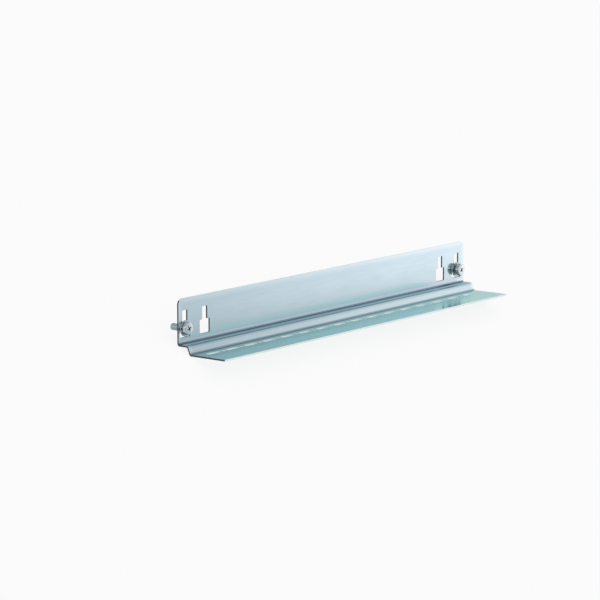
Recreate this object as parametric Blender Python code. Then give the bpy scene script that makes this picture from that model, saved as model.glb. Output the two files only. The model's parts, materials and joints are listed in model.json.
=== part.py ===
"""Builds the guide rail of an equipment rack: one bent and punched steel rail with its two screws and washers.

The rail is drawn upright, as it hangs on the rack: X = 0 is the front face of the web, Y runs along the rail
from its near end, and Z = 0 is the underside of the shelf. An empty then leans it back onto its two lower bends,
which is how it comes to rest on a level floor, and centres it on the origin. Lengths are in metres.
"""

from math import atan2, cos, pi, radians, sin, tan

import bmesh
import bpy
from mathutils import Matrix, Vector

# Sheet
SHEET = 0.0015
BEND_RADIUS = 0.001
WEB_CORNER_RADIUS = 0.005
SHELF_CORNER_RADIUS = 0.001

# Section, measured on the faces that look up and out
LENGTH = 0.417
WEB_RISE = 0.0387
LEDGE_REACH = 0.0102
LIP_REACH = 0.0029
LIP_DROP = 0.007
SHELF_REACH = 0.037

# Keyholes in the web: each has a narrow neck above a wide mouth
NECK_WIDTH = 0.0065
NECK_HEIGHT = 0.0112
MOUTH_WIDTH = 0.013
MOUTH_HEIGHT = 0.012
MOUTH_RISE = 0.0053
KEYHOLE_CORNER_RADIUS = 0.0008
NEAR_OUTER_KEYHOLE = 0.0083
NEAR_INNER_KEYHOLE = 0.0344
FAR_INNER_KEYHOLE = 0.038
FAR_OUTER_KEYHOLE = 0.0118

# Row of slots and round holes along the shelf
ROW_OFFSET = 0.0097
ROW_PITCH = 0.025
FIRST_SLOT = 0.0187
FIRST_HOLE = 0.0312
SLOT_LENGTH = 0.017
SLOT_WIDTH = 0.0045
HOLE_RADIUS = 0.0021

# Screws and washers
SHANK_RADIUS = 0.003
SHANK_LENGTH = 0.016
SHANK_CHAMFER = 0.0008
HEAD_RADIUS = 0.0055
HEAD_HEIGHT = 0.0033
HEAD_ROUNDING = 0.0008
RECESS_ARM = 0.0034
RECESS_WIDTH = 0.0015
RECESS_DEPTH = 0.0018
RECESS_TAPER = 0.6
RECESS_TURN = radians(28)
WASHER_RADIUS = 0.007
WASHER_THICKNESS = 0.001
SCREW_RISE = 0.013
FAR_SCREW_BACKED_OUT = 0.0015

# Clearances
SEAT_GAP = 0.0003
BORE_GAP = 0.0003
CUT_MARGIN = 0.002

# Facets
BEND_STEPS = 6
CORNER_STEPS = 3
EDGE_CORNER_STEPS = 6
HOLE_STEPS = 16
ROUND_STEPS = 24
SMOOTH_ANGLE = radians(32)

SHELF_TOP = SHEET
LEDGE_TOP = SHELF_TOP + LIP_DROP
WEB_TOP = LEDGE_TOP + WEB_RISE
LIP_FOOT = LEDGE_REACH + LIP_REACH
SHELF_EDGE = LIP_FOOT + SHELF_REACH
MOUTH_BOTTOM = LEDGE_TOP + MOUTH_RISE
MOUTH_TOP = MOUTH_BOTTOM + MOUTH_HEIGHT
KEYHOLE_PLACES = {
    "near_outer": NEAR_OUTER_KEYHOLE,
    "near_inner": NEAR_INNER_KEYHOLE,
    "far_inner": LENGTH - FAR_INNER_KEYHOLE,
    "far_outer": LENGTH - FAR_OUTER_KEYHOLE,
}


def clear_scene():
    """Removes whatever objects the file holds."""
    for item in list(bpy.data.objects):
        bpy.data.objects.remove(item, do_unlink=True)


def metal(name, colour, roughness):
    """Makes a plain metal with a base colour and a roughness."""
    material = bpy.data.materials.new(name)
    material.use_nodes = True
    shader = material.node_tree.nodes["Principled BSDF"]
    shader.inputs["Base Color"].default_value = (*colour, 1.0)
    shader.inputs["Metallic"].default_value = 1.0
    shader.inputs["Roughness"].default_value = roughness
    return material


def add_object(name, mesh_builder, material=None):
    """Turns a bmesh into an object with outward faces, smooth where it is round."""
    bmesh.ops.recalc_face_normals(mesh_builder, faces=mesh_builder.faces[:])
    mesh = bpy.data.meshes.new(name)
    mesh_builder.to_mesh(mesh)
    mesh_builder.free()
    mesh.shade_smooth()
    mesh.set_sharp_from_angle(angle=SMOOTH_ANGLE)
    item = bpy.data.objects.new(name, mesh)
    bpy.context.scene.collection.objects.link(item)
    if material:
        mesh.materials.append(material)
    return item


def cut(item, cutter):
    """Takes the cutter's shape out of the item."""
    cutter.hide_render = True
    cutter.display_type = "WIRE"
    cutter.parent = item
    boolean = item.modifiers.new(cutter.name, "BOOLEAN")
    boolean.operation = "DIFFERENCE"
    boolean.solver = "EXACT"
    boolean.object = cutter


def add_prism(mesh_builder, points, sweep):
    """Adds the solid that a flat outline leaves when it is swept, and gives back its swept corners."""
    face = mesh_builder.faces.new([mesh_builder.verts.new(point) for point in points])
    grown = bmesh.ops.extrude_face_region(mesh_builder, geom=[face])["geom"]
    swept = [part for part in grown if isinstance(part, bmesh.types.BMVert)]
    bmesh.ops.translate(mesh_builder, verts=swept, vec=sweep)
    return swept


def arc_centre(before, corner, after, radius):
    """Finds the centre of the arc that rounds a corner of an outline."""
    back = (before - corner).normalized()
    ahead = (after - corner).normalized()
    return corner + (back + ahead).normalized() * radius / sin(back.angle(ahead) / 2)


def rounded_corner(before, corner, after, radius, steps):
    """Gives the points of the arc that rounds a corner of an outline."""
    centre = arc_centre(before, corner, after, radius)
    back = (before - corner).normalized()
    opening = back.angle(after - corner)
    start = corner + back * radius / tan(opening / 2) - centre
    turn = (pi - opening) * (1 if (corner - before).cross(after - corner) > 0 else -1)
    return [centre + Matrix.Rotation(turn * step / steps, 2) @ start for step in range(steps + 1)]


def rounded_outline(corners, radii, steps):
    """Rounds each corner of a closed outline by its own radius, and keeps those whose radius is zero."""
    points = []
    for index, (corner, radius) in enumerate(zip(corners, radii)):
        before, after = corners[index - 1], corners[(index + 1) % len(corners)]
        points += rounded_corner(before, corner, after, radius, steps) if radius else [corner]
    return points


def face_line():
    """Gives the corners of the section's upper face, from the web's top to the shelf's edge."""
    return [
        Vector((0, WEB_TOP)),
        Vector((0, LEDGE_TOP)),
        Vector((LEDGE_REACH, LEDGE_TOP)),
        Vector((LIP_FOOT, SHELF_TOP)),
        Vector((SHELF_EDGE, SHELF_TOP)),
    ]


def back_line():
    """Gives the corners of the section's lower face, one sheet behind the upper one."""
    face = face_line()
    ways = [(end - start).normalized() for start, end in zip(face, face[1:])]
    normals = [Vector((-way.y, way.x)) for way in ways]
    corners = []
    for corner, before, after in zip(face, normals[:1] + normals, normals + normals[-1:]):
        middle = (before + after).normalized()
        corners.append(corner - middle * SHEET / middle.dot(before))
    return corners


def section():
    """Gives the closed outline of the bent sheet."""
    inside, outside = BEND_RADIUS, BEND_RADIUS + SHEET
    face_radii = [0, inside, outside, inside, 0]
    back_radii = [0, outside, inside, outside, 0]
    corners = face_line() + back_line()[::-1]
    return rounded_outline(corners, face_radii + back_radii[::-1], BEND_STEPS)


def resting_lean():
    """Gives the angle that brings the two lower bends level, so that both touch the floor."""
    back = back_line()
    outside = BEND_RADIUS + SHEET
    web_bend = arc_centre(back[0], back[1], back[2], outside)
    shelf_bend = arc_centre(back[2], back[3], back[4], outside)
    return atan2(web_bend.y - shelf_bend.y, shelf_bend.x - web_bend.x)


def resting_matrix():
    """Leans the upright rail back, stands it on the floor and centres it on the origin."""
    lean = Matrix.Rotation(-resting_lean(), 4, "Y")
    leaned = [lean @ Vector((point.x, 0, point.y)) for point in section()]
    middle = (min(point.x for point in leaned) + max(point.x for point in leaned)) / 2
    lowest = min(point.z for point in leaned)
    return Matrix.Translation((-middle, -LENGTH / 2, -lowest)) @ lean


def round_end_corners(mesh_builder, is_corner, radius):
    """Rounds the short edges across the sheet's thickness that a test picks out at both ends of the rail."""
    edges = [
        edge
        for edge in mesh_builder.edges
        if all(is_corner(vert.co) for vert in edge.verts)
        and abs(edge.calc_length() - SHEET) < SHEET / 100
    ]
    bmesh.ops.bevel(
        mesh_builder,
        geom=edges,
        offset=radius,
        segments=EDGE_CORNER_STEPS,
        profile=0.5,
        affect="EDGES",
        material=-1,
    )


def keyhole_outline():
    """Gives the keyhole's outline about the middle of its width, with heights above the shelf's underside."""
    neck_top = MOUTH_TOP + NECK_HEIGHT
    mouth, neck = MOUTH_WIDTH / 2, NECK_WIDTH / 2
    right = [(mouth, MOUTH_BOTTOM), (mouth, MOUTH_TOP), (neck, MOUTH_TOP), (neck, neck_top)]
    left = [(-across, height) for across, height in reversed(right)]
    corners = [Vector(corner) for corner in right + left]
    return rounded_outline(corners, [KEYHOLE_CORNER_RADIUS] * len(corners), CORNER_STEPS)


def keyhole_cutter():
    """Makes the shape that punches the four keyholes through the web."""
    mesh_builder = bmesh.new()
    behind = -SHEET - CUT_MARGIN
    through = Vector((SHEET + 2 * CUT_MARGIN, 0, 0))
    for place in KEYHOLE_PLACES.values():
        outline = [(behind, place + point.x, point.y) for point in keyhole_outline()]
        add_prism(mesh_builder, outline, through)
    return add_object("keyhole_cutter", mesh_builder)


def slot_outline(length, radius):
    """Gives a slot with round ends about its own middle, or a round hole where the length is the diameter."""
    straight = length / 2 - radius
    half = [2 * pi * step / HOLE_STEPS for step in range(HOLE_STEPS // 2 + 1)]
    far = [Vector((radius * cos(angle), straight + radius * sin(angle))) for angle in half]
    near = [-point for point in far]
    return far + near if straight > 0 else far[:-1] + near[:-1]


def row_places(first, half_length):
    """Gives the distances along the rail of a row of holes that starts at a place and stays clear of the end."""
    room = LENGTH - half_length - SHEET - first
    return [first + ROW_PITCH * step for step in range(int(room / ROW_PITCH) + 1)]


def row_cutter():
    """Makes the shape that punches the slots and the round holes through the shelf."""
    mesh_builder = bmesh.new()
    across = LIP_FOOT + ROW_OFFSET
    through = Vector((0, 0, SHEET + 2 * CUT_MARGIN))
    slots = (FIRST_SLOT, SLOT_LENGTH, SLOT_WIDTH / 2)
    holes = (FIRST_HOLE, 2 * HOLE_RADIUS, HOLE_RADIUS)
    for first, length, radius in (slots, holes):
        for place in row_places(first, length / 2):
            middle = Vector((across, place))
            outline = [(*(middle + point), -CUT_MARGIN) for point in slot_outline(length, radius)]
            add_prism(mesh_builder, outline, through)
    return add_object("row_cutter", mesh_builder)


def build_rail(material):
    """Makes the rail: the bent sheet, its rounded corners, its keyholes and its row of holes."""
    mesh_builder = bmesh.new()
    outline = [(point.x, 0, point.y) for point in section()]
    add_prism(mesh_builder, outline, Vector((0, LENGTH, 0)))
    just_below_web_top = WEB_TOP - SHEET / 2
    just_inside_shelf_edge = SHELF_EDGE - SHEET / 2
    round_end_corners(mesh_builder, lambda place: place.z > just_below_web_top, WEB_CORNER_RADIUS)
    round_end_corners(mesh_builder, lambda place: place.x > just_inside_shelf_edge, SHELF_CORNER_RADIUS)
    rail = add_object("rail", mesh_builder, material)
    cut(rail, keyhole_cutter())
    cut(rail, row_cutter())
    return rail


def add_turned(mesh_builder, profile, closed):
    """Turns a profile of places along X and radii about the X axis, and caps its ends if it is open."""
    verts = [mesh_builder.verts.new((along, 0, radius)) for along, radius in profile]
    pairs = list(zip(verts, verts[1:])) + ([(verts[-1], verts[0])] if closed else [])
    edges = [mesh_builder.edges.new(pair) for pair in pairs]
    bmesh.ops.spin(
        mesh_builder,
        geom=verts + edges,
        axis=(1, 0, 0),
        cent=(0, 0, 0),
        angle=2 * pi,
        steps=ROUND_STEPS,
        use_merge=True,
    )
    bmesh.ops.holes_fill(mesh_builder, edges=mesh_builder.edges[:])


def recess_cutter(name):
    """Makes the tapered cross that the driver turns the screw by."""
    mesh_builder = bmesh.new()
    width = RECESS_WIDTH / 2
    arm = [Vector((RECESS_ARM, -width)), Vector((RECESS_ARM, width)), Vector((width, width))]
    turns = [Matrix.Rotation(RECESS_TURN + quarter * pi / 2, 2) for quarter in range(4)]
    outline = [turn @ point for turn in turns for point in arm]
    mouth = HEAD_HEIGHT + CUT_MARGIN
    points = [(mouth, point.x, point.y) for point in outline]
    bottom = add_prism(mesh_builder, points, Vector((-CUT_MARGIN - RECESS_DEPTH, 0, 0)))
    bmesh.ops.scale(mesh_builder, verts=bottom, vec=(1, RECESS_TAPER, RECESS_TAPER))
    return add_object(f"{name}_recess_cutter", mesh_builder)


def build_screw(name, material):
    """Makes a screw that points along -X, with the underside of its head at X = 0."""
    mesh_builder = bmesh.new()
    rim = [
        (
            HEAD_HEIGHT - HEAD_ROUNDING * (1 - sin(angle)),
            HEAD_RADIUS - HEAD_ROUNDING * (1 - cos(angle)),
        )
        for angle in (pi / 2 * step / CORNER_STEPS for step in range(CORNER_STEPS + 1))
    ]
    shank = [
        (-SHANK_LENGTH, SHANK_RADIUS - SHANK_CHAMFER),
        (-SHANK_LENGTH + SHANK_CHAMFER, SHANK_RADIUS),
        (0, SHANK_RADIUS),
        (0, HEAD_RADIUS),
    ]
    add_turned(mesh_builder, shank + rim, closed=False)
    screw = add_object(name, mesh_builder, material)
    cut(screw, recess_cutter(name))
    return screw


def build_washer(name, material):
    """Makes a flat washer whose back is at X = 0."""
    mesh_builder = bmesh.new()
    bore = SHANK_RADIUS + BORE_GAP
    profile = [(0, bore), (0, WASHER_RADIUS), (WASHER_THICKNESS, WASHER_RADIUS), (WASHER_THICKNESS, bore)]
    add_turned(mesh_builder, profile, closed=True)
    return add_object(name, mesh_builder, material)


def main():
    """Builds every piece and lays them down as they rest."""
    clear_scene()
    sheet_zinc = metal("sheet_zinc", (0.55, 0.63, 0.66), 0.38)
    screw_zinc = metal("screw_zinc", (0.6, 0.63, 0.65), 0.28)
    washer_zinc = metal("washer_zinc", (0.52, 0.55, 0.57), 0.34)
    rest = bpy.data.objects.new("rest", None)
    bpy.context.scene.collection.objects.link(rest)
    rest.matrix_world = resting_matrix()
    build_rail(sheet_zinc).parent = rest
    head_seat = SEAT_GAP + WASHER_THICKNESS + SEAT_GAP
    ends = {"near": ("near_outer", 0), "far": ("far_outer", FAR_SCREW_BACKED_OUT)}
    for end, (keyhole, backed_out) in ends.items():
        along, height = KEYHOLE_PLACES[keyhole], LEDGE_TOP + SCREW_RISE
        screw = build_screw(f"screw_{end}", screw_zinc)
        screw.parent = rest
        screw.location = (head_seat + backed_out, along, height)
        washer = build_washer(f"washer_{end}", washer_zinc)
        washer.parent = rest
        washer.location = (SEAT_GAP, along, height)


main()
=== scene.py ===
"""Dresses the guide rail: one bent, punched and zinc-plated sheet with its two screws.

Each piece is modelled upright, as the rail is mounted. X = 0 is the front face of the web, Y runs
along the rail from its near end, and Z = 0 is the underside of the shelf. The piece is then laid
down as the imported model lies, leaning back on its two lower bends. Lengths are in metres.
"""

import json
import logging
from collections.abc import Callable, Iterable
from dataclasses import dataclass, field
from enum import Enum
from itertools import pairwise
from math import atan2, cos, pi, radians, sin, tan

import bmesh
import bpy
from mathutils import Matrix, Vector


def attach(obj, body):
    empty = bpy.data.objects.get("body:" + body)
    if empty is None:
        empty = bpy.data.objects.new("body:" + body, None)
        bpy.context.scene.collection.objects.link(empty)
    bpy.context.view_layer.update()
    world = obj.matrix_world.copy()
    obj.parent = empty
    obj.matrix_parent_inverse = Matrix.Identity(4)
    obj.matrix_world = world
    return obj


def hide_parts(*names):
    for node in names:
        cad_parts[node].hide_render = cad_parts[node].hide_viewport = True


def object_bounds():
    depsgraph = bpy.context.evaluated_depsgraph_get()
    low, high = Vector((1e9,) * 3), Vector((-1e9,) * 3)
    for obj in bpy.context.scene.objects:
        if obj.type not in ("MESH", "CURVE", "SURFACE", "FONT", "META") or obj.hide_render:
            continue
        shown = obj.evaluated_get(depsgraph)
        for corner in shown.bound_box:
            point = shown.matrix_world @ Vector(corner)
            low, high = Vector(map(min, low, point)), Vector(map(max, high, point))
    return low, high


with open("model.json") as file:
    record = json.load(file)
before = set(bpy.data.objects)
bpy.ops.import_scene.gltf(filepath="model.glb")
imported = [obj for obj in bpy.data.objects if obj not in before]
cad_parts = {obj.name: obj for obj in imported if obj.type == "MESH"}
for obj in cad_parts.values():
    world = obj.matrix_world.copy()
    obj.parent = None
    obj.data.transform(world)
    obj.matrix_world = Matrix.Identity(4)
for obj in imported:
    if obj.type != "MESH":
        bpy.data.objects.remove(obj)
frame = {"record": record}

log = logging.getLogger("guide_rail")
CAD_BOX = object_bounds()

MM = 0.001
# Vertices closer than this are one.
WELD = 1e-6
# Faces that meet at less than the first angle are shaded as one round, and edges sharper than the
# second are softened.
SMOOTH_BELOW = radians(32)
SOFTEN_ABOVE = radians(40)
SOFTEN_FACETS = 2
# The share of a direction that lies along an axis: past the first it faces that way, and past
# the second it is parallel.
MOSTLY = 0.5
PARALLEL = 0.999
RELIEF_STRENGTH = 0.15
WHITE = (1.0, 1.0, 1.0, 1.0)
CUT_ATTRIBUTE = "cut_face"


class Slot(Enum):
    """The record's material slots."""

    SHEET = "sheet_zinc"
    SCREW = "screw_zinc"
    WASHER = "washer_zinc"


class End(Enum):
    """The two ends of the rail, as the camera sees them."""

    NEAR = "near"
    FAR = "far"


class Cut(Enum):
    """Which colour a face of the sheet takes: its skin, a cut face with a painted highlight, or a
    cut face with painted shade.
    """

    SKIN = 0
    PAINTED_LIT = 1
    PAINTED_SHADE = 2


def linear(hex_colour: str) -> tuple[float, float, float, float]:
    """Turns an sRGB hex colour into linear values.

    Args:
        hex_colour: six hex digits, without a leading mark.

    Returns:
        Red, green, blue and an alpha of one.
    """
    channels = [int(hex_colour[start : start + 2], 16) / 255 for start in (0, 2, 4)]
    return (*(c / 12.92 if c <= 0.04045 else ((c + 0.055) / 1.055) ** 2.4 for c in channels), 1.0)


def add_node(
    tree: bpy.types.NodeTree, kind: str, inputs: dict | None = None, **settings: object
) -> bpy.types.Node:
    """Adds a node with its settings, and sets or links its inputs.

    Args:
        tree: the material's or the world's node tree.
        kind: the node's type name.
        inputs: values or output sockets, by the input's name or number.
        **settings: the node's own properties.

    Returns:
        The new node.
    """
    node = tree.nodes.new(kind)
    for name, value in settings.items():
        setattr(node, name, value)
    for key, value in (inputs or {}).items():
        if isinstance(value, bpy.types.NodeSocket):
            tree.links.new(value, node.inputs[key])
        else:
            node.inputs[key].default_value = value
    return node


def new_material(name: str) -> tuple[bpy.types.Material, bpy.types.NodeTree]:
    """Makes a material with an empty node tree.

    Args:
        name: the finish's common name.

    Returns:
        The material and its node tree.
    """
    material = bpy.data.materials.new(name)
    material.use_nodes = True
    material.node_tree.nodes.clear()
    return material, material.node_tree


@dataclass(frozen=True)
class Lie:
    """How the rail lies on the floor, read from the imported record's mounts."""

    lean: float
    upright_to_floor: Matrix

    @classmethod
    def from_frame(cls, sheet: float) -> "Lie":
        """Works out the lean and the place from the mounts on the web's back and under the shelf.

        Args:
            sheet: the thickness of the sheet.

        Returns:
            The rail's lie.
        """
        mounts = {mount["name"]: mount for mount in frame["record"]["mounts"]}
        back, under = mounts["web_back"], mounts["shelf_underside"]
        out = -Vector(back["axis"]).normalized()
        up = -Vector(under["axis"]).normalized()
        depth = Vector(back["pos_m"]).dot(out) + sheet
        height = Vector(under["pos_m"]).dot(up)
        corner = out * depth + up * height
        corner.y = CAD_BOX[0].y
        lean = atan2(out.z, out.x)
        return cls(lean, Matrix.Translation(corner) @ Matrix.Rotation(-lean, 4, "Y"))


@dataclass(frozen=True)
class Section:
    """The bent sheet in cross-section, by its upper face."""

    sheet: float = 1.5 * MM
    inner_radius: float = 1.0 * MM
    web_rise: float = 38.7 * MM
    ledge_reach: float = 10.2 * MM
    lip_reach: float = 2.9 * MM
    lip_drop: float = 7.0 * MM
    shelf_reach: float = 37.0 * MM

    @property
    def ledge_top(self) -> float:
        """The height of the ledge's upper face."""
        return self.sheet + self.lip_drop

    @property
    def web_top(self) -> float:
        """The height of the web's upper edge."""
        return self.ledge_top + self.web_rise

    @property
    def lip_foot(self) -> float:
        """How far out the lip meets the shelf."""
        return self.ledge_reach + self.lip_reach

    @property
    def shelf_edge(self) -> float:
        """How far out the shelf's free edge lies."""
        return self.lip_foot + self.shelf_reach

    def corners(self) -> list[Vector]:
        """Gives the corners of the upper face, from the web's top to the shelf's edge."""
        return [
            Vector((0, 0, self.web_top)),
            Vector((0, 0, self.ledge_top)),
            Vector((self.ledge_reach, 0, self.ledge_top)),
            Vector((self.lip_foot, 0, self.sheet)),
            Vector((self.shelf_edge, 0, self.sheet)),
        ]

    def bends(self) -> list[tuple[Vector, float]]:
        """Finds each bend's corner and how far its round reaches along the faces beside it.

        Returns:
            The corner of each bend on the upper face, with the reach of its round.
        """
        found = []
        corners = self.corners()
        for before, corner, after in zip(corners, corners[1:], corners[2:]):
            way_in, way_out = corner - before, after - corner
            hollow = way_in.cross(way_out).y < 0
            radius = self.inner_radius if hollow else self.inner_radius + self.sheet
            found.append((corner, radius * tan(way_in.angle(way_out) / 2)))
        return found


@dataclass
class Piece:
    """A piece of the rail that is drawn upright and then laid down."""

    lie: Lie
    name: str
    slot: Slot
    node: str

    def finish_piece(self, mesh: bpy.types.Mesh, material: bpy.types.Material) -> bpy.types.Object:
        """Lays the mesh down, dresses it and puts it in the place of its node.

        Args:
            mesh: the piece's mesh, drawn upright.
            material: its finish.

        Returns:
            The finished object.
        """
        mesh.transform(self.lie.upright_to_floor)
        mesh.materials.clear()
        mesh.materials.append(material)
        piece = bpy.data.objects.new(self.name, mesh)
        bpy.context.scene.collection.objects.link(piece)
        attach(piece, "root")
        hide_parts(self.node)
        log.info("%s: %d faces in place of %s", self.name, len(mesh.polygons), self.node)
        return piece


def to_mesh(builder: bmesh.types.BMesh, name: str) -> bpy.types.Mesh:
    """Turns a bmesh into a mesh with outward faces, smooth where it is round.

    Args:
        builder: the bmesh, which is freed.
        name: the mesh's name.

    Returns:
        The mesh.
    """
    bmesh.ops.remove_doubles(builder, verts=builder.verts, dist=WELD)
    bmesh.ops.recalc_face_normals(builder, faces=builder.faces)
    mesh = bpy.data.meshes.new(name)
    builder.to_mesh(mesh)
    builder.free()
    for _ in Cut:
        mesh.materials.append(None)
    mesh.shade_smooth()
    mesh.set_sharp_from_angle(angle=SMOOTH_BELOW)
    return mesh


def joined(
    base: bpy.types.Mesh, tools: Iterable[tuple[str, bpy.types.Mesh]], soften: float
) -> bpy.types.Mesh:
    """Joins or cuts a mesh with others, then rounds the sharp edges that are left.

    Args:
        base: the mesh to work on.
        tools: each operation's name and the mesh that does it.
        soften: the width of the rounding.

    Returns:
        The worked mesh.
    """
    holder = bpy.data.objects.new(base.name, base)
    bpy.context.scene.collection.objects.link(holder)
    helpers = []
    for operation, mesh in tools:
        helper = bpy.data.objects.new(mesh.name, mesh)
        bpy.context.scene.collection.objects.link(helper)
        helpers.append(helper)
        boolean = holder.modifiers.new(mesh.name, "BOOLEAN")
        boolean.operation, boolean.solver, boolean.object = operation, "EXACT", helper
    bevel = holder.modifiers.new("soften", "BEVEL")
    bevel.width, bevel.segments, bevel.profile = soften, SOFTEN_FACETS, 0.5
    bevel.limit_method, bevel.angle_limit = "ANGLE", SOFTEN_ABOVE
    bevel.harden_normals, bevel.use_clamp_overlap = True, True
    graph = bpy.context.evaluated_depsgraph_get()
    worked = bpy.data.meshes.new_from_object(holder.evaluated_get(graph))
    for item in [holder, *helpers]:
        bpy.data.objects.remove(item, do_unlink=True)
    return worked


def moved_on(builder: bmesh.types.BMesh, grown: list, sweep: Vector) -> None:
    """Moves what an extrusion has just added.

    Args:
        builder: the bmesh.
        grown: the added vertices, edges and faces.
        sweep: how far they go.
    """
    verts = [part for part in grown if isinstance(part, bmesh.types.BMVert)]
    bmesh.ops.translate(builder, verts=verts, vec=sweep)


def swept(builder: bmesh.types.BMesh, face: bmesh.types.BMFace, sweep: Vector) -> None:
    """Sweeps a flat face into a solid.

    Args:
        builder: the bmesh that holds the face.
        face: the face.
        sweep: how far it goes.
    """
    moved_on(builder, bmesh.ops.extrude_face_region(builder, geom=[face])["geom"], sweep)


def turned(
    builder: bmesh.types.BMesh, profile: list[tuple[float, float]], steps: int, closed: bool
) -> None:
    """Turns a profile about the X axis into a solid.

    Args:
        builder: the bmesh that takes the solid.
        profile: places along X with their radii.
        steps: the number of facets round the axis.
        closed: whether the profile is a ring, and otherwise its ends are capped.
    """
    verts = [builder.verts.new((along, 0, radius)) for along, radius in profile]
    edges = [builder.edges.new(pair) for pair in pairwise(verts)]
    if closed:
        edges.append(builder.edges.new((verts[-1], verts[0])))
    spin = {"axis": (1, 0, 0), "cent": (0, 0, 0), "angle": 2 * pi, "steps": steps}
    bmesh.ops.spin(builder, geom=verts + edges, use_merge=True, **spin)
    bmesh.ops.remove_doubles(builder, verts=builder.verts, dist=WELD)
    bmesh.ops.holes_fill(builder, edges=builder.edges)


def bevelled(
    builder: bmesh.types.BMesh,
    wanted: Callable[[bmesh.types.BMEdge], bool],
    offset: float,
    segments: int,
) -> None:
    """Rounds the edges that a test picks out.

    Args:
        builder: the bmesh.
        wanted: says whether an edge is rounded.
        offset: how far the round reaches along the faces beside the edge.
        segments: the number of facets across the round.
    """
    edges = [edge for edge in builder.edges if wanted(edge)]
    shape = {"offset": offset, "segments": segments, "profile": 0.5}
    bmesh.ops.bevel(builder, geom=edges, affect="EDGES", material=-1, **shape)


@dataclass
class Rail(Piece):
    """The rail itself: one sheet, bent three times and punched."""

    section: Section = field(default_factory=Section)
    length: float = 417.0 * MM
    web_corner: float = 5.0 * MM
    shelf_corner: float = 1.0 * MM
    neck_width: float = 6.5 * MM
    neck_height: float = 11.2 * MM
    mouth_width: float = 13.0 * MM
    mouth_height: float = 12.0 * MM
    mouth_rise: float = 5.3 * MM
    keyhole_corner: float = 0.8 * MM
    keyholes_from_near: tuple[float, float] = (8.3 * MM, 34.4 * MM)
    keyholes_from_far: tuple[float, float] = (38.0 * MM, 11.8 * MM)
    row_offset: float = 9.7 * MM
    row_pitch: float = 25.0 * MM
    first_slot: float = 18.7 * MM
    first_hole: float = 31.2 * MM
    slot_length: float = 17.0 * MM
    slot_width: float = 4.5 * MM
    hole_radius: float = 2.1 * MM
    cut_margin: float = 2.0 * MM
    edge_round: float = 0.14 * MM
    bend_facets: int = 14
    corner_facets: int = 12
    keyhole_facets: int = 6
    hole_facets: int = 40

    def bent_sheet(self) -> bpy.types.Mesh:
        """Bends the sheet and rounds its outer corners.

        Returns:
            The sheet's mesh, before it is punched.
        """
        builder = bmesh.new()
        line = [builder.verts.new(corner) for corner in self.section.corners()]
        edges = [builder.edges.new(pair) for pair in pairwise(line)]
        grown = bmesh.ops.extrude_edge_only(builder, edges=edges)["geom"]
        moved_on(builder, grown, Vector((0, self.length, 0)))
        for corner, reach in self.section.bends():
            bevelled(builder, lambda edge: self.lies_on(edge, corner), reach, self.bend_facets)
        bmesh.ops.recalc_face_normals(builder, faces=builder.faces)
        web = next(iter(builder.faces))
        if web.normal.x < 0 or sum(face.normal.z for face in builder.faces) < 0:
            bmesh.ops.reverse_faces(builder, faces=builder.faces)
        bmesh.ops.solidify(builder, geom=builder.faces, thickness=self.section.sheet)
        top = self.section.web_top - self.section.sheet / 2
        edge = self.section.shelf_edge - self.section.sheet / 2
        free_edges = (
            (lambda place: place.z > top, self.web_corner),
            (lambda place: place.x > edge, self.shelf_corner),
        )
        builder.normal_update()
        # The ends take the cut faces' painted shade, and the free edges their painted highlight.
        for face in builder.faces:
            if abs(face.normal.y) > MOSTLY:
                face.material_index = Cut.PAINTED_SHADE.value
            elif any(all(beyond(vert.co) for vert in face.verts) for beyond, _ in free_edges):
                face.material_index = Cut.PAINTED_LIT.value
        for beyond, radius in free_edges:
            bevelled(builder, self.end_edges(beyond), radius, self.corner_facets)
        return to_mesh(builder, "bent_sheet")

    @staticmethod
    def lies_on(edge: bmesh.types.BMEdge, corner: Vector) -> bool:
        """Tells whether an edge runs along the rail through a corner of the section."""
        ends = [Vector((vert.co.x, 0, vert.co.z)) for vert in edge.verts]
        return all((end - corner).length < WELD for end in ends)

    def end_edges(self, wanted: Callable[[Vector], bool]) -> Callable[[bmesh.types.BMEdge], bool]:
        """Makes a test for the short edges through the sheet at both ends of the rail.

        Args:
            wanted: says whether a place belongs to the corner.

        Returns:
            The test for an edge.
        """
        # A little more than the way straight through the sheet.
        longest = self.section.sheet * 1.01
        return lambda edge: (
            edge.calc_length() < longest and all(wanted(vert.co) for vert in edge.verts)
        )

    def keyhole_punches(self) -> bpy.types.Mesh:
        """Makes the punches of the four keyholes.

        Returns:
            The punches' mesh.
        """
        bottom = self.section.ledge_top + self.mouth_rise
        shoulder = bottom + self.mouth_height
        top = shoulder + self.neck_height
        mouth, neck = self.mouth_width / 2, self.neck_width / 2
        right = [(mouth, bottom), (mouth, shoulder), (neck, shoulder), (neck, top)]
        outline = right + [(-across, height) for across, height in reversed(right)]
        behind = -self.section.sheet - self.cut_margin
        through = Vector((self.section.sheet + 2 * self.cut_margin, 0, 0))
        builder = bmesh.new()
        far = [self.length - place for place in self.keyholes_from_far]
        for place in [*self.keyholes_from_near, *far]:
            corners = [(behind, place + across, height) for across, height in outline]
            face = builder.faces.new([builder.verts.new(corner) for corner in corners])
            swept(builder, face, through)
        bevelled(builder, self.runs_through, self.keyhole_corner, self.keyhole_facets)
        # The keyholes' walls take the cut faces' painted shade.
        for face in builder.faces:
            face.material_index = Cut.PAINTED_SHADE.value
        return to_mesh(builder, "keyhole_punches")

    @staticmethod
    def runs_through(edge: bmesh.types.BMEdge) -> bool:
        """Tells whether an edge of a punch runs straight through the web."""
        way = edge.verts[1].co - edge.verts[0].co
        return abs(way.x) > PARALLEL * way.length

    def row_places(self, first: float, half_length: float) -> list[float]:
        """Gives the distances along the rail of one kind of hole in the row.

        Args:
            first: the first hole's place.
            half_length: how far the hole reaches along the rail from its middle.

        Returns:
            The places of the holes that stay clear of the far end.
        """
        room = self.length - half_length - self.section.sheet - first
        return [first + self.row_pitch * step for step in range(int(room / self.row_pitch) + 1)]

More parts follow.
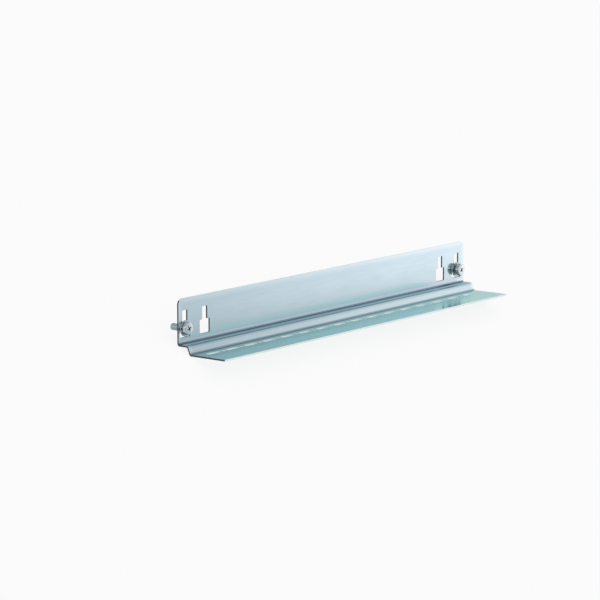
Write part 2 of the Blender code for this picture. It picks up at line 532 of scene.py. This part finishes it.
    def row_punches(self) -> bpy.types.Mesh:
        """Makes the punches of the slots and of the round holes.

        Returns:
            The punches' mesh.
        """
        across = self.section.lip_foot + self.row_offset
        through = Vector((0, 0, self.section.sheet + 2 * self.cut_margin))
        kinds = [
            (self.first_slot, self.slot_width / 2, self.slot_length / 2 - self.slot_width / 2),
            (self.first_hole, self.hole_radius, 0.0),
        ]
        builder = bmesh.new()
        turn = Matrix.Rotation(pi / self.hole_facets, 4, "Z")
        for first, radius, straight in kinds:
            for place in self.row_places(first, straight + radius):
                ring = bmesh.ops.create_circle(
                    builder, cap_ends=True, radius=radius, segments=self.hole_facets, matrix=turn
                )["verts"]
                for way in (1, -1):
                    half = [vert for vert in ring if vert.co.y * way > 0]
                    bmesh.ops.translate(builder, verts=half, vec=(0, straight * way, 0))
                bmesh.ops.translate(builder, verts=ring, vec=(across, place, -self.cut_margin))
                swept(builder, ring[0].link_faces[0], through)
        # The walls of the slots and holes take the cut faces' painted highlight.
        for face in builder.faces:
            face.material_index = Cut.PAINTED_LIT.value
        return to_mesh(builder, "row_punches")

    def build(self, material: bpy.types.Material) -> bpy.types.Object:
        """Bends, punches and dresses the rail.

        Args:
            material: the plated sheet's finish.

        Returns:
            The finished rail.
        """
        punches = [("DIFFERENCE", self.keyhole_punches()), ("DIFFERENCE", self.row_punches())]
        mesh = joined(self.bent_sheet(), punches, self.edge_round)
        cuts = mesh.attributes.new(CUT_ATTRIBUTE, "FLOAT", "FACE")
        for face, cut in zip(mesh.polygons, cuts.data):
            cut.value = face.material_index
            face.material_index = 0
        return self.finish_piece(mesh, material)


@dataclass
class Washer(Piece):
    """A flat washer, stamped, with its edges rounded by tumbling."""

    place: Vector
    bore: float = 3.3 * MM
    radius: float = 7.0 * MM
    thickness: float = 1.0 * MM
    edge_round: float = 0.16 * MM
    facets: int = 72

    def build(self, material: bpy.types.Material) -> bpy.types.Object:
        """Turns and dresses the washer.

        Args:
            material: its finish.

        Returns:
            The finished washer.
        """
        builder = bmesh.new()
        back, front = self.place.x, self.place.x + self.thickness
        ring = [(back, self.bore), (back, self.radius), (front, self.radius), (front, self.bore)]
        turned(builder, ring, self.facets, True)
        bmesh.ops.translate(builder, verts=builder.verts, vec=(0, self.place.y, self.place.z))
        return self.finish_piece(joined(to_mesh(builder, self.name), [], self.edge_round), material)


@dataclass
class Screw(Piece):
    """An M6 pan-head screw with a cross recess and a thread up to its neck."""

    place: Vector
    shank_radius: float = 3.0 * MM
    shank_length: float = 16.0 * MM
    pitch: float = 1.0 * MM
    thread_depth: float = 0.61 * MM
    neck_length: float = 0.9 * MM
    point_chamfer: float = 0.8 * MM
    head_radius: float = 5.5 * MM
    head_height: float = 3.3 * MM
    head_round: float = 0.8 * MM
    head_round_facets: int = 10
    recess_reach: float = 3.4 * MM
    recess_width: float = 1.5 * MM
    recess_depth: float = 1.8 * MM
    recess_taper: float = 0.6
    recess_turn: float = radians(28)
    edge_round: float = 0.1 * MM
    facets: int = 64

    def head(self) -> bpy.types.Mesh:
        """Turns the head with the plain neck below it.

        Returns:
            The head's mesh.
        """
        builder = bmesh.new()
        neck = self.shank_radius - self.thread_depth / 2
        rim = self.head_height - self.head_round
        steps = self.head_round_facets
        arc = [pi / 2 * step / steps for step in range(steps + 1)]
        dome = [
            (
                rim + self.head_round * sin(angle),
                self.head_radius - self.head_round * (1 - cos(angle)),
            )
            for angle in arc
        ]
        foot = [(-self.neck_length, neck), (0, neck), (0, self.head_radius)]
        turned(builder, foot + dome, self.facets, False)
        return to_mesh(builder, "head")

    def shank(self) -> bpy.types.Mesh:
        """Winds the thread as one helical band, and trims and caps it at both ends.

        Returns:
            The shank's mesh.
        """
        builder = bmesh.new()
        root, crest = self.shank_radius - self.thread_depth, self.shank_radius
        # One pitch: a root a quarter of it wide, a flank, a crest an eighth wide and a flank.
        stations = [(0, root), (0.25, root), (0.5625, crest), (0.6875, crest), (1, root)]
        verts = [builder.verts.new((-self.pitch * along, 0, radius)) for along, radius in stations]
        edges = [builder.edges.new(pair) for pair in pairwise(verts)]
        turns = int(self.shank_length / self.pitch) + 2
        step = (-self.pitch / self.facets, 0, 0)
        spin = {"axis": (1, 0, 0), "cent": (0, 0, 0), "angle": 2 * pi * turns, "dvec": step}
        spin["steps"] = self.facets * turns
        bmesh.ops.spin(builder, geom=verts + edges, use_merge=False, **spin)
        bmesh.ops.translate(builder, verts=builder.verts, vec=(self.pitch, 0, 0))
        bmesh.ops.remove_doubles(builder, verts=builder.verts, dist=WELD)
        for place, way in ((-self.neck_length / 2, 1), (-self.shank_length, -1)):
            geom = [*builder.verts, *builder.edges, *builder.faces]
            plane = {"plane_co": (place, 0, 0), "plane_no": (way, 0, 0)}
            bmesh.ops.bisect_plane(builder, geom=geom, dist=WELD, clear_outer=True, **plane)
        bmesh.ops.holes_fill(builder, edges=[edge for edge in builder.edges if edge.is_boundary])
        for vert in builder.verts:
            radius = Vector((vert.co.y, vert.co.z)).length
            limit = self.shank_radius - self.point_chamfer + (vert.co.x + self.shank_length)
            if radius > limit:
                vert.co.y *= limit / radius
                vert.co.z *= limit / radius
        return to_mesh(builder, "shank")

    def recess_bar(self, turn: float) -> bpy.types.Mesh:
        """Makes one of the two tapered bars that cut the cross recess.

        Args:
            turn: the bar's angle about the screw's axis.

        Returns:
            The bar's mesh.
        """
        builder = bmesh.new()
        above = self.head_height
        size = (self.recess_depth + above, 2 * self.recess_reach, self.recess_width, 1)
        cube = bmesh.ops.create_cube(builder, size=1, matrix=Matrix.Diagonal(size))["verts"]
        bottom = [vert for vert in cube if vert.co.x < 0]
        bmesh.ops.scale(builder, verts=bottom, vec=(1, self.recess_taper, self.recess_taper))
        middle = self.head_height + (above - self.recess_depth) / 2
        place = Matrix.Translation((middle, 0, 0)) @ Matrix.Rotation(turn, 4, "X")
        bmesh.ops.transform(builder, verts=builder.verts, matrix=place)
        return to_mesh(builder, "recess_bar")

    def build(self, material: bpy.types.Material) -> bpy.types.Object:
        """Joins the head to the shank, cuts the recess and dresses the screw.

        Args:
            material: its finish.

        Returns:
            The finished screw.
        """
        work = [("UNION", self.shank())]
        work += [("DIFFERENCE", self.recess_bar(self.recess_turn + turn)) for turn in (0, pi / 2)]
        mesh = joined(self.head(), work, self.edge_round)
        mesh.transform(Matrix.Translation(self.place))
        return self.finish_piece(mesh, material)


def metal_surface(
    tree: bpy.types.NodeTree,
    colour: bpy.types.NodeSocket,
    roughness: bpy.types.NodeSocket,
    relief: bpy.types.NodeSocket,
    depth: float,
    flat_angle_tint: str = "FFFFFF",
) -> None:
    """Ends a metal's material with its shader and a fine relief.

    Args:
        tree: the material's node tree.
        colour: the metal's colour.
        roughness: its roughness.
        relief: the relief's height, from zero to one.
        depth: how deep the relief is.
        flat_angle_tint: the hex colour of its film where it is seen at a flat angle.
    """
    bump = add_node(
        tree,
        "ShaderNodeBump",
        {"Strength": RELIEF_STRENGTH, "Distance": depth, "Height": relief},
    )
    shader = add_node(
        tree,
        "ShaderNodeBsdfPrincipled",
        {
            "Base Color": colour,
            "Metallic": 1.0,
            "Roughness": roughness,
            "Specular Tint": linear(flat_angle_tint),
            "Normal": bump.outputs["Normal"],
        },
    )
    add_node(tree, "ShaderNodeOutputMaterial", {"Surface": shader.outputs["BSDF"]})


@dataclass(frozen=True)
class Fade:
    """A soft change along one of the upright axes, from no mark at all to a full one.

    The reach says where the mark begins and where it is full, measured from the base.
    """

    axis: str
    base: float
    reach: tuple[float, float]


@dataclass(frozen=True)
class Zone:
    """A part of the section with a tint of its own, and where it says so a roughness of its own."""

    tint: str
    fades: tuple[Fade, ...]
    strength: float = 1.0
    roughness: float | None = None

    def mark(self, tree: bpy.types.NodeTree, place: bpy.types.NodeSocket) -> bpy.types.NodeSocket:
        """Marks the part of the sheet where every fade is full.

        Args:
            tree: the material's node tree.
            place: the upright coordinates.

        Returns:
            The zone's strength inside it, and zero where any fade has not begun.
        """
        along = add_node(tree, "ShaderNodeSeparateXYZ", {0: place}).outputs
        mark = self.strength
        for fade in self.fades:
            begins, full = (fade.base + part for part in fade.reach)
            mark = add_node(
                tree,
                "ShaderNodeMapRange",
                {"Value": along[fade.axis], "From Min": begins, "From Max": full, "To Max": mark},
                interpolation_type="SMOOTHSTEP",
            ).outputs["Result"]
        return mark


@dataclass(frozen=True)
class SheetZinc:
    """Cold-rolled sheet steel, zinc-plated and clear-passivated."""

    # A soft, cool sheen with faint streaks along the rolled strip. The shelf's greener tint is a
    # painted reflection of the web, and the ledge and the foot of the web are darkened with painted
    # shade. A paler band along the free edges is a painted highlight, and dark lines of painted
    # shade run along the bends. The cut faces are matt, pale with a painted highlight on most of
    # them and grey with painted shade on the ends and the keyholes. The grain of the strip is drawn
    # coarser than the real one, so that it shows.
    lie: Lie
    section: Section
    length: float
    name: str = "zinc-plated steel sheet"
    pale: str = "CFDBE2"
    deep: str = "BECCD5"
    # Painted shade on the web, darker towards its foot.
    foot_painted_shade: str = "A6B3B6"
    pressed_tint: str = "C8D5DC"
    low_strip_tint: str = "DEDEE8"
    # Painted shade on the ledge.
    ledge_painted_shade: str = "8A9DA9"
    strip_tint: str = "DEDCDC"
    # A painted reflection of the web: the shelf's greener tint.
    shelf_painted_reflection: str = "C2D9DA"
    # A painted highlight along the free edges.
    edge_painted_highlight: str = "E3E9EB"
    flat_angle_tint: str = "DAF2F0"
    # Painted shade along the bends.
    bend_painted_shade: str = "56697A"
    # A painted highlight on most cut faces, and painted shade on the ends and the keyholes.
    cut_painted_highlight: str = "F6FAFA"
    cut_painted_shade: str = "50595F"
    roughness: tuple[float, float] = (0.11, 0.19)
    cut_roughness: float = 0.5
    pressed_roughness: float = 0.25
    # Patterns, by their width across the strip and their length along it.
    clouds: tuple[float, float] = (9.0 * MM, 55.0 * MM)
    streaks: tuple[float, float] = (1.8 * MM, 24.0 * MM)
    grain: tuple[float, float] = (0.5 * MM, 20.0 * MM)
    pattern_detail: float = 2.0
    relief_depth: float = 0.015 * MM
    # Fades, each from where its mark begins to where it is full: up from the ledge, out from the
    # web, out from the ledge's corner and out from the lip's foot.
    foot_shade_height: tuple[float, float] = (27.0 * MM, 9.0 * MM)
    foot_shade_strength: float = 0.3
    pressed_height: tuple[float, float] = (11.0 * MM, 5.5 * MM)
    pressed_bottom: tuple[float, float] = (0.0, 1.0 * MM)
    low_strip_height: tuple[float, float] = (3.8 * MM, 2.8 * MM)
    low_strip_reach: tuple[float, float] = (2.0 * MM, 0.5 * MM)
    ledge_shading: tuple[float, float] = (2.0 * MM, 5.5 * MM)
    ledge_end: tuple[float, float] = (0.4 * MM, -0.5 * MM)
    strip_reach: tuple[float, float] = (0.5 * MM, 1.5 * MM)
    shelf_reach: tuple[float, float] = (4.0 * MM, 9.0 * MM)
    # The painted highlight along the free edges: its least and greatest width, and where it is
    # full.
    edge_width: tuple[float, float] = (4.2 * MM, 7.8 * MM)
    edge_full: float = 0.4 * MM
    edge_strength: float = 0.5
    # Each bend's painted shade, by its reach and its strength.
    bend_shades: tuple[tuple[float, float], ...] = (
        (1.6 * MM, 0.88),
        (2.8 * MM, 0.22),
        (1.8 * MM, 0.65),
    )

    def build(self) -> bpy.types.Material:
        """Makes the material from the rail's own upright coordinates.

        Returns:
            The material.
        """
        material, tree = new_material(self.name)
        to_upright = self.lie.upright_to_floor.inverted()
        place = add_node(
            tree,
            "ShaderNodeMapping",
            {
                "Vector": add_node(tree, "ShaderNodeTexCoord").outputs["Object"],
                "Location": to_upright.translation,
                "Rotation": (0, self.lie.lean, 0),
            },
        ).outputs["Vector"]
        patterns = []
        for width, length in (self.clouds, self.streaks, self.grain):
            squeezed = add_node(
                tree,
                "ShaderNodeVectorMath",
                {0: place, 1: (1 / width, 1 / length, 1 / width)},
                operation="MULTIPLY",
            ).outputs["Vector"]
            noise = add_node(
                tree,
                "ShaderNodeTexNoise",
                {"Vector": squeezed, "Scale": 1.0, "Detail": self.pattern_detail},
            )
            patterns.append(noise.outputs["Fac"])
        clouds, streaks, grain = patterns
        # Each pattern runs from zero to one, so their sum runs from zero to two.
        spread = add_node(tree, "ShaderNodeMath", {0: clouds, 1: streaks}, operation="ADD")
        shade = add_node(
            tree, "ShaderNodeMapRange", {"Value": spread.outputs[0], "From Max": 2.0}
        ).outputs["Result"]
        colour = add_node(
            tree,
            "ShaderNodeMix",
            {0: shade, 6: linear(self.pale), 7: linear(self.deep)},
            data_type="RGBA",
        ).outputs[2]
        smoothest, roughest = self.roughness
        rough = add_node(
            tree,
            "ShaderNodeMapRange",
            {"Value": streaks, "To Min": smoothest, "To Max": roughest},
        ).outputs["Result"]
        # The cut faces are painted pale as a highlight, and the ends and keyholes dark with shade.
        plated, shaded_cuts = self.cut_masks(tree)
        layers = [(zone.mark(tree, place), zone.tint, zone.roughness) for zone in self.zones()]
        layers += [
            (self.edge_highlight_mask(tree, place, streaks), self.edge_painted_highlight, None),
            (self.bend_shade_mask(tree, place), self.bend_painted_shade, None),
            (plated, self.cut_painted_highlight, self.cut_roughness),
            (shaded_cuts, self.cut_painted_shade, None),
        ]
        for mask, tint, level in layers:
            colour = add_node(
                tree, "ShaderNodeMix", {0: mask, 6: colour, 7: linear(tint)}, data_type="RGBA"
            ).outputs[2]
            if level is not None:
                rough = add_node(tree, "ShaderNodeMix", {0: mask, 2: rough, 3: level}).outputs[0]
        metal_surface(tree, colour, rough, grain, self.relief_depth, self.flat_angle_tint)
        return material

    def zones(self) -> list[Zone]:
        """Gives the zones of the section, in the order in which their tints are laid on."""
        ledge = self.section.ledge_top
        corner = self.section.ledge_reach
        lip = self.section.lip_foot
        return [
            # Painted shade: the web darkens towards the inside of the bend.
            Zone(self.foot_painted_shade, (Fade("Z", ledge, self.foot_shade_height),), self.foot_shade_strength),
            # The press has held the foot of the web and left it duller.
            Zone(
                self.pressed_tint,
                (Fade("Z", ledge, self.pressed_height), Fade("Z", ledge, self.pressed_bottom)),
                roughness=self.pressed_roughness,
            ),
            # The lowest strip of the web is paler and lilac.
            Zone(
                self.low_strip_tint,
                (Fade("Z", ledge, self.low_strip_height), Fade("X", 0.0, self.low_strip_reach)),
            ),
            # Painted shade: the ledge darkens from the web outwards.
            Zone(
                self.ledge_painted_shade,
                (Fade("X", 0.0, self.ledge_shading), Fade("X", corner, self.ledge_end)),
            ),
            # The shelf is a warmer grey beside the lip, and farther out its greener tint is a
            # painted reflection of the web.
            Zone(self.strip_tint, (Fade("X", lip, self.strip_reach),)),
            Zone(self.shelf_painted_reflection, (Fade("X", lip, self.shelf_reach),)),
        ]

    @staticmethod
    def cut_masks(tree: bpy.types.NodeTree) -> tuple[bpy.types.NodeSocket, bpy.types.NodeSocket]:
        """Marks the faces that were cut.

        Args:
            tree: the material's node tree.

        Returns:
            One on every cut face, which takes a painted highlight, and one on the faces that take
            painted shade instead.
        """
        cut = add_node(tree, "ShaderNodeAttribute", attribute_name=CUT_ATTRIBUTE).outputs["Fac"]
        plated, shaded_cuts = (
            add_node(
                tree,
                "ShaderNodeMapRange",
                {"Value": cut, "From Min": float(less.value), "From Max": float(more.value)},
            ).outputs["Result"]
            for less, more in pairwise(Cut)
        )
        return plated, shaded_cuts

    def edge_highlight_mask(
        self, tree: bpy.types.NodeTree, place: bpy.types.NodeSocket, streaks: bpy.types.NodeSocket
    ) -> bpy.types.NodeSocket:
        """Marks a paler band along the free edges, a painted highlight.

        Args:
            tree: the material's node tree.
            place: the upright coordinates.
            streaks: the pattern that makes the marks' width uneven.

        Returns:
            How strongly the sheet is marked, and zero away from its edges.
        """
        highest = Vector((self.section.shelf_edge, self.length, self.section.web_top))
        inward = add_node(
            tree, "ShaderNodeVectorMath", {0: highest, 1: place}, operation="SUBTRACT"
        ).outputs["Vector"]
        room = add_node(tree, "ShaderNodeSeparateXYZ", {0: inward}).outputs
        nearest = add_node(tree, "ShaderNodeSeparateXYZ", {0: place}).outputs["Y"]
        for axis in "XYZ":
            nearest = add_node(
                tree, "ShaderNodeMath", {0: nearest, 1: room[axis]}, operation="MINIMUM"
            ).outputs[0]
        narrow, wide = self.edge_width
        width = add_node(
            tree, "ShaderNodeMapRange", {"Value": streaks, "To Min": narrow, "To Max": wide}
        ).outputs["Result"]
        return add_node(
            tree,
            "ShaderNodeMapRange",
            {
                "Value": nearest,
                "From Min": width,
                "From Max": self.edge_full,
                "To Max": self.edge_strength,
            },
            interpolation_type="SMOOTHSTEP",
        ).outputs["Result"]

    def bend_shade_mask(
        self, tree: bpy.types.NodeTree, place: bpy.types.NodeSocket
    ) -> bpy.types.NodeSocket:
        """Marks the bends with dark lines of painted shade.

        Args:
            tree: the material's node tree.
            place: the upright coordinates.

        Returns:
            How strongly each bend is marked, and zero away from them.
        """
        flat = add_node(
            tree, "ShaderNodeVectorMath", {0: place, 1: (1, 0, 1)}, operation="MULTIPLY"
        ).outputs["Vector"]
        strongest = None
        for (corner, _), (reach, strength) in zip(self.section.bends(), self.bend_shades):
            gap = add_node(
                tree, "ShaderNodeVectorMath", {0: flat, 1: corner}, operation="DISTANCE"
            ).outputs["Value"]
            mark = add_node(
                tree,
                "ShaderNodeMapRange",
                {"Value": gap, "From Min": reach, "From Max": reach / 2, "To Max": strength},
                interpolation_type="SMOOTHSTEP",
            ).outputs["Result"]
            if strongest is not None:
                mark = add_node(
                    tree, "ShaderNodeMath", {0: strongest, 1: mark}, operation="MAXIMUM"
                ).outputs[0]
            strongest = mark
        return strongest


@dataclass(frozen=True)
class TurnedZinc:
    """Headed or stamped steel, barrel-plated with zinc."""

    # Brighter than the sheet, with small dull spots where the parts have knocked together in the
    # barrel.
    name: str
    pale: str
    deep: str
    roughness: tuple[float, float]
    spot: float = 1.6 * MM
    spot_detail: float = 3.0
    relief_depth: float = 0.03 * MM

    def build(self) -> bpy.types.Material:
        """Makes the material.

        Returns:
            The material.
        """
        material, tree = new_material(self.name)
        place = add_node(tree, "ShaderNodeTexCoord").outputs["Object"]
        spots = add_node(
            tree,
            "ShaderNodeTexNoise",
            {"Vector": place, "Scale": 1 / self.spot, "Detail": self.spot_detail},
        ).outputs["Fac"]
        colour = add_node(
            tree,
            "ShaderNodeMix",
            {0: spots, 6: linear(self.pale), 7: linear(self.deep)},
            data_type="RGBA",
        ).outputs[2]
        smoothest, roughest = self.roughness
        rough = add_node(
            tree, "ShaderNodeMapRange", {"Value": spots, "To Min": smoothest, "To Max": roughest}
        ).outputs["Result"]
        metal_surface(tree, colour, rough, spots, self.relief_depth)
        return material


@dataclass(frozen=True)
class Camera:
    """The photograph's camera, placed about the upright rail and then laid down with it.

    The photograph is 600 pixels square. Its lens is given by the focal length in those pixels.
    """

    place: tuple[float, float, float] = (1582.97 * MM, -1860.29 * MM, 463.85 * MM)
    turn: float = radians(38.004)
    tilt: float = radians(9.701)
    focal_pixels: float = 2956.14
    image_pixels: float = 600.0
    sensor: float = 36.0
    clip: tuple[float, float] = (0.05, 50.0)

    def build(self, lie: Lie) -> None:
        """Makes the camera.

        Args:
            lie: how the rail lies.
        """
        data = bpy.data.cameras.new("photo_camera")
        data.sensor_width = self.sensor
        data.lens = self.focal_pixels / self.image_pixels * self.sensor
        data.clip_start, data.clip_end = self.clip
        camera = bpy.data.objects.new("photo_camera", data)
        bpy.context.scene.collection.objects.link(camera)
        facing = Matrix.Rotation(self.turn, 4, "Z") @ Matrix.Rotation(pi / 2 - self.tilt, 4, "X")
        camera.matrix_world = lie.upright_to_floor @ Matrix.Translation(self.place) @ facing
        bpy.context.scene.camera = camera


@dataclass(frozen=True)
class Studio:
    """A pale floor, a white room, one soft lamp and a dark card, at a plain level."""

    floor_half: float = 12.0
    floor_grey: str = "F2F2F2"
    floor_glow_seen: float = 0.86
    floor_glow_mirrored: float = 0.35
    world_level: float = 0.7
    side_mirrored: str = "CBD6DB"
    corner_mirrored: float = 1.5
    # How far a direction points along the rail, where the room's corners begin and end.
    corner_from: tuple[float, float] = (0.735, 0.825)
    corner_to: tuple[float, float] = (0.96, 0.87)
    card_grey: str = "3A3D40"
    card_place: tuple[float, float, float] = (0.75, -0.95, 0.2)
    card_size: tuple[float, float] = (1.2, 0.45)
    lamp_place: tuple[float, float, float] = (-0.3, 0.5, 1.8)
    lamp_size: float = 1.4
    lamp_watts: float = 6.0

    def floor(self) -> None:
        """Lays a pale floor that reads as white and keeps the rail's shadow."""
        builder = bmesh.new()
        bmesh.ops.create_grid(builder, x_segments=1, y_segments=1, size=self.floor_half)
        material, tree = new_material("matt white floor")
        diffuse = add_node(tree, "ShaderNodeBsdfDiffuse", {"Color": linear(self.floor_grey)})
        white = add_node(tree, "ShaderNodeEmission", {"Color": WHITE, "Strength": 1.0})
        path = add_node(tree, "ShaderNodeLightPath").outputs
        seen = add_node(
            tree,
            "ShaderNodeMath",
            {0: path["Is Camera Ray"], 1: self.floor_glow_seen},
            operation="MULTIPLY",
        ).outputs[0]
        glow = add_node(
            tree,
            "ShaderNodeMath",
            {0: path["Is Glossy Ray"], 1: self.floor_glow_mirrored, 2: seen},
            operation="MULTIPLY_ADD",
        ).outputs[0]
        both = add_node(
            tree,
            "ShaderNodeMixShader",
            {0: glow, 1: diffuse.outputs["BSDF"], 2: white.outputs["Emission"]},
        ).outputs["Shader"]
        add_node(tree, "ShaderNodeOutputMaterial", {"Surface": both})
        self.stand("floor", builder, material)

    @staticmethod
    def stand(
        name: str, builder: bmesh.types.BMesh, material: bpy.types.Material
    ) -> bpy.types.Object:
        """Adds a piece of the studio.

        Args:
            name: the piece's name.
            builder: its bmesh, which is freed.
            material: its material.

        Returns:
            The piece.
        """
        mesh = bpy.data.meshes.new(name)
        builder.to_mesh(mesh)
        builder.free()
        mesh.materials.append(material)
        piece = bpy.data.objects.new(name, mesh)
        bpy.context.scene.collection.objects.link(piece)
        return piece

    def card(self) -> None:
        """Hangs a dark card that only the metal mirrors, so that its round edges stand out."""
        builder = bmesh.new()
        middle = Vector(self.card_place)
        facing = (-middle).to_track_quat("Z", "Y").to_matrix().to_4x4()
        place = Matrix.Translation(middle) @ facing @ Matrix.Diagonal((*self.card_size, 1, 1))
        bmesh.ops.create_grid(builder, x_segments=1, y_segments=1, size=0.5, matrix=place)
        material, tree = new_material("dark felt")
        felt = add_node(tree, "ShaderNodeBsdfDiffuse", {"Color": linear(self.card_grey)})
        add_node(tree, "ShaderNodeOutputMaterial", {"Surface": felt.outputs["BSDF"]})
        card = self.stand("flag", builder, material)
        card.visible_camera = card.visible_diffuse = False
        card.visible_shadow = card.visible_transmission = False

    def world(self) -> None:
        """Fills the room with even light that the camera sees as white.

        In the metal's mirror the room's corners, beyond the rail's ends, are white. Its sides are a
        cool grey, and so are its two ends on the rail's own axis.
        """
        world = bpy.data.worlds.new("white_room")
        world.use_nodes = True
        tree = world.node_tree
        tree.nodes.clear()
        way = add_node(tree, "ShaderNodeTexCoord").outputs["Generated"]
        along = add_node(tree, "ShaderNodeSeparateXYZ", {0: way}).outputs["Y"]
        endwise = add_node(tree, "ShaderNodeMath", {0: along}, operation="ABSOLUTE").outputs[0]
        corner = 1.0
        for begins, full in (self.corner_to, self.corner_from):
            corner = add_node(
                tree,
                "ShaderNodeMapRange",
                {"Value": endwise, "From Min": begins, "From Max": full, "To Max": corner},
            ).outputs["Result"]
        colour = add_node(
            tree,
            "ShaderNodeMix",
            {0: corner, 6: linear(self.side_mirrored), 7: WHITE},
            data_type="RGBA",
        ).outputs[2]
        level = add_node(
            tree,
            "ShaderNodeMapRange",
            {"Value": corner, "To Min": 1.0, "To Max": self.corner_mirrored},
        ).outputs["Result"]
        lighting, mirrored, seen = (
            add_node(tree, "ShaderNodeBackground", {"Color": tint, "Strength": strength})
            for tint, strength in ((WHITE, self.world_level), (colour, level), (WHITE, 1.0))
        )
        path = add_node(tree, "ShaderNodeLightPath").outputs
        surface = lighting.outputs["Background"]
        for ray, background in (("Is Glossy Ray", mirrored), ("Is Camera Ray", seen)):
            surface = add_node(
                tree,
                "ShaderNodeMixShader",
                {0: path[ray], 1: surface, 2: background.outputs["Background"]},
            ).outputs["Shader"]
        add_node(tree, "ShaderNodeOutputWorld", {"Surface": surface})
        bpy.context.scene.world = world

    def lamp(self) -> None:
        """Hangs a square soft lamp over the rail that leaves no patch in the metal's mirror."""
        data = bpy.data.lights.new("overhead_softbox", "AREA")
        data.shape, data.size, data.energy = "SQUARE", self.lamp_size, self.lamp_watts
        lamp = bpy.data.objects.new("overhead_softbox", data)
        lamp.location = Vector(self.lamp_place)
        lamp.rotation_euler = (-lamp.location).to_track_quat("-Z", "Y").to_euler()
        lamp.visible_camera = lamp.visible_glossy = False
        bpy.context.scene.collection.objects.link(lamp)

    def build(self) -> None:
        """Sets up the floor, the card, the room and the lamp."""
        self.floor()
        self.card()
        self.world()
        self.lamp()
        bpy.context.scene.view_settings.view_transform = "Standard"


@dataclass(frozen=True)
class Fixings:
    """The screw and its washer in the outer keyhole at each end.

    The screws are cleaner than the washers. The far screw is backed out a little.
    """

    above_ledge: float = 13.0 * MM
    clearance: float = 0.3 * MM
    far_backed_out: float = 1.5 * MM
    screw_zinc: TurnedZinc = TurnedZinc(
        "bright zinc-plated steel screw", "EAEDEE", "ACB4B9", (0.07, 0.22)
    )
    washer_zinc: TurnedZinc = TurnedZinc(
        "zinc-plated steel washer", "D2D8DA", "949EA3", (0.15, 0.3)
    )

    def build(self, rail: Rail) -> list[bpy.types.Object]:
        """Builds them in their keyholes.

        Args:
            rail: the rail, for its keyholes and its lie.

        Returns:
            The washer and the screw of each end.
        """
        screw_finish, washer_finish = self.screw_zinc.build(), self.washer_zinc.build()
        height = rail.section.ledge_top + self.above_ledge
        ends = {
            End.NEAR: (rail.keyholes_from_near[0], 0.0),
            End.FAR: (rail.length - rail.keyholes_from_far[-1], self.far_backed_out),
        }
        pieces = []
        for end, (along, out) in ends.items():
            name = end.value
            seat = Vector((self.clearance, along, height))
            washer = Washer(rail.lie, f"flat_washer_{name}", Slot.WASHER, f"washer_{name}", seat)
            pieces.append(washer.build(washer_finish))
            seat = Vector((2 * self.clearance + washer.thickness + out, along, height))
            screw = Screw(rail.lie, f"pan_head_screw_{name}", Slot.SCREW, f"screw_{name}", seat)
            pieces.append(screw.build(screw_finish))
        return pieces


def main() -> None:
    """Builds every piece, the camera and the studio."""
    logging.basicConfig(level=logging.INFO, format="%(name)s %(message)s")
    section = Section()
    lie = Lie.from_frame(section.sheet)
    Camera().build(lie)
    rail = Rail(lie, "guide_rail_sheet", Slot.SHEET, "rail", section=section)
    pieces = [rail.build(SheetZinc(lie, section, rail.length).build())]
    pieces += Fixings().build(rail)
    Studio().build()
    log.info("%d pieces", len(pieces))


if __name__ == "__main__":
    main()
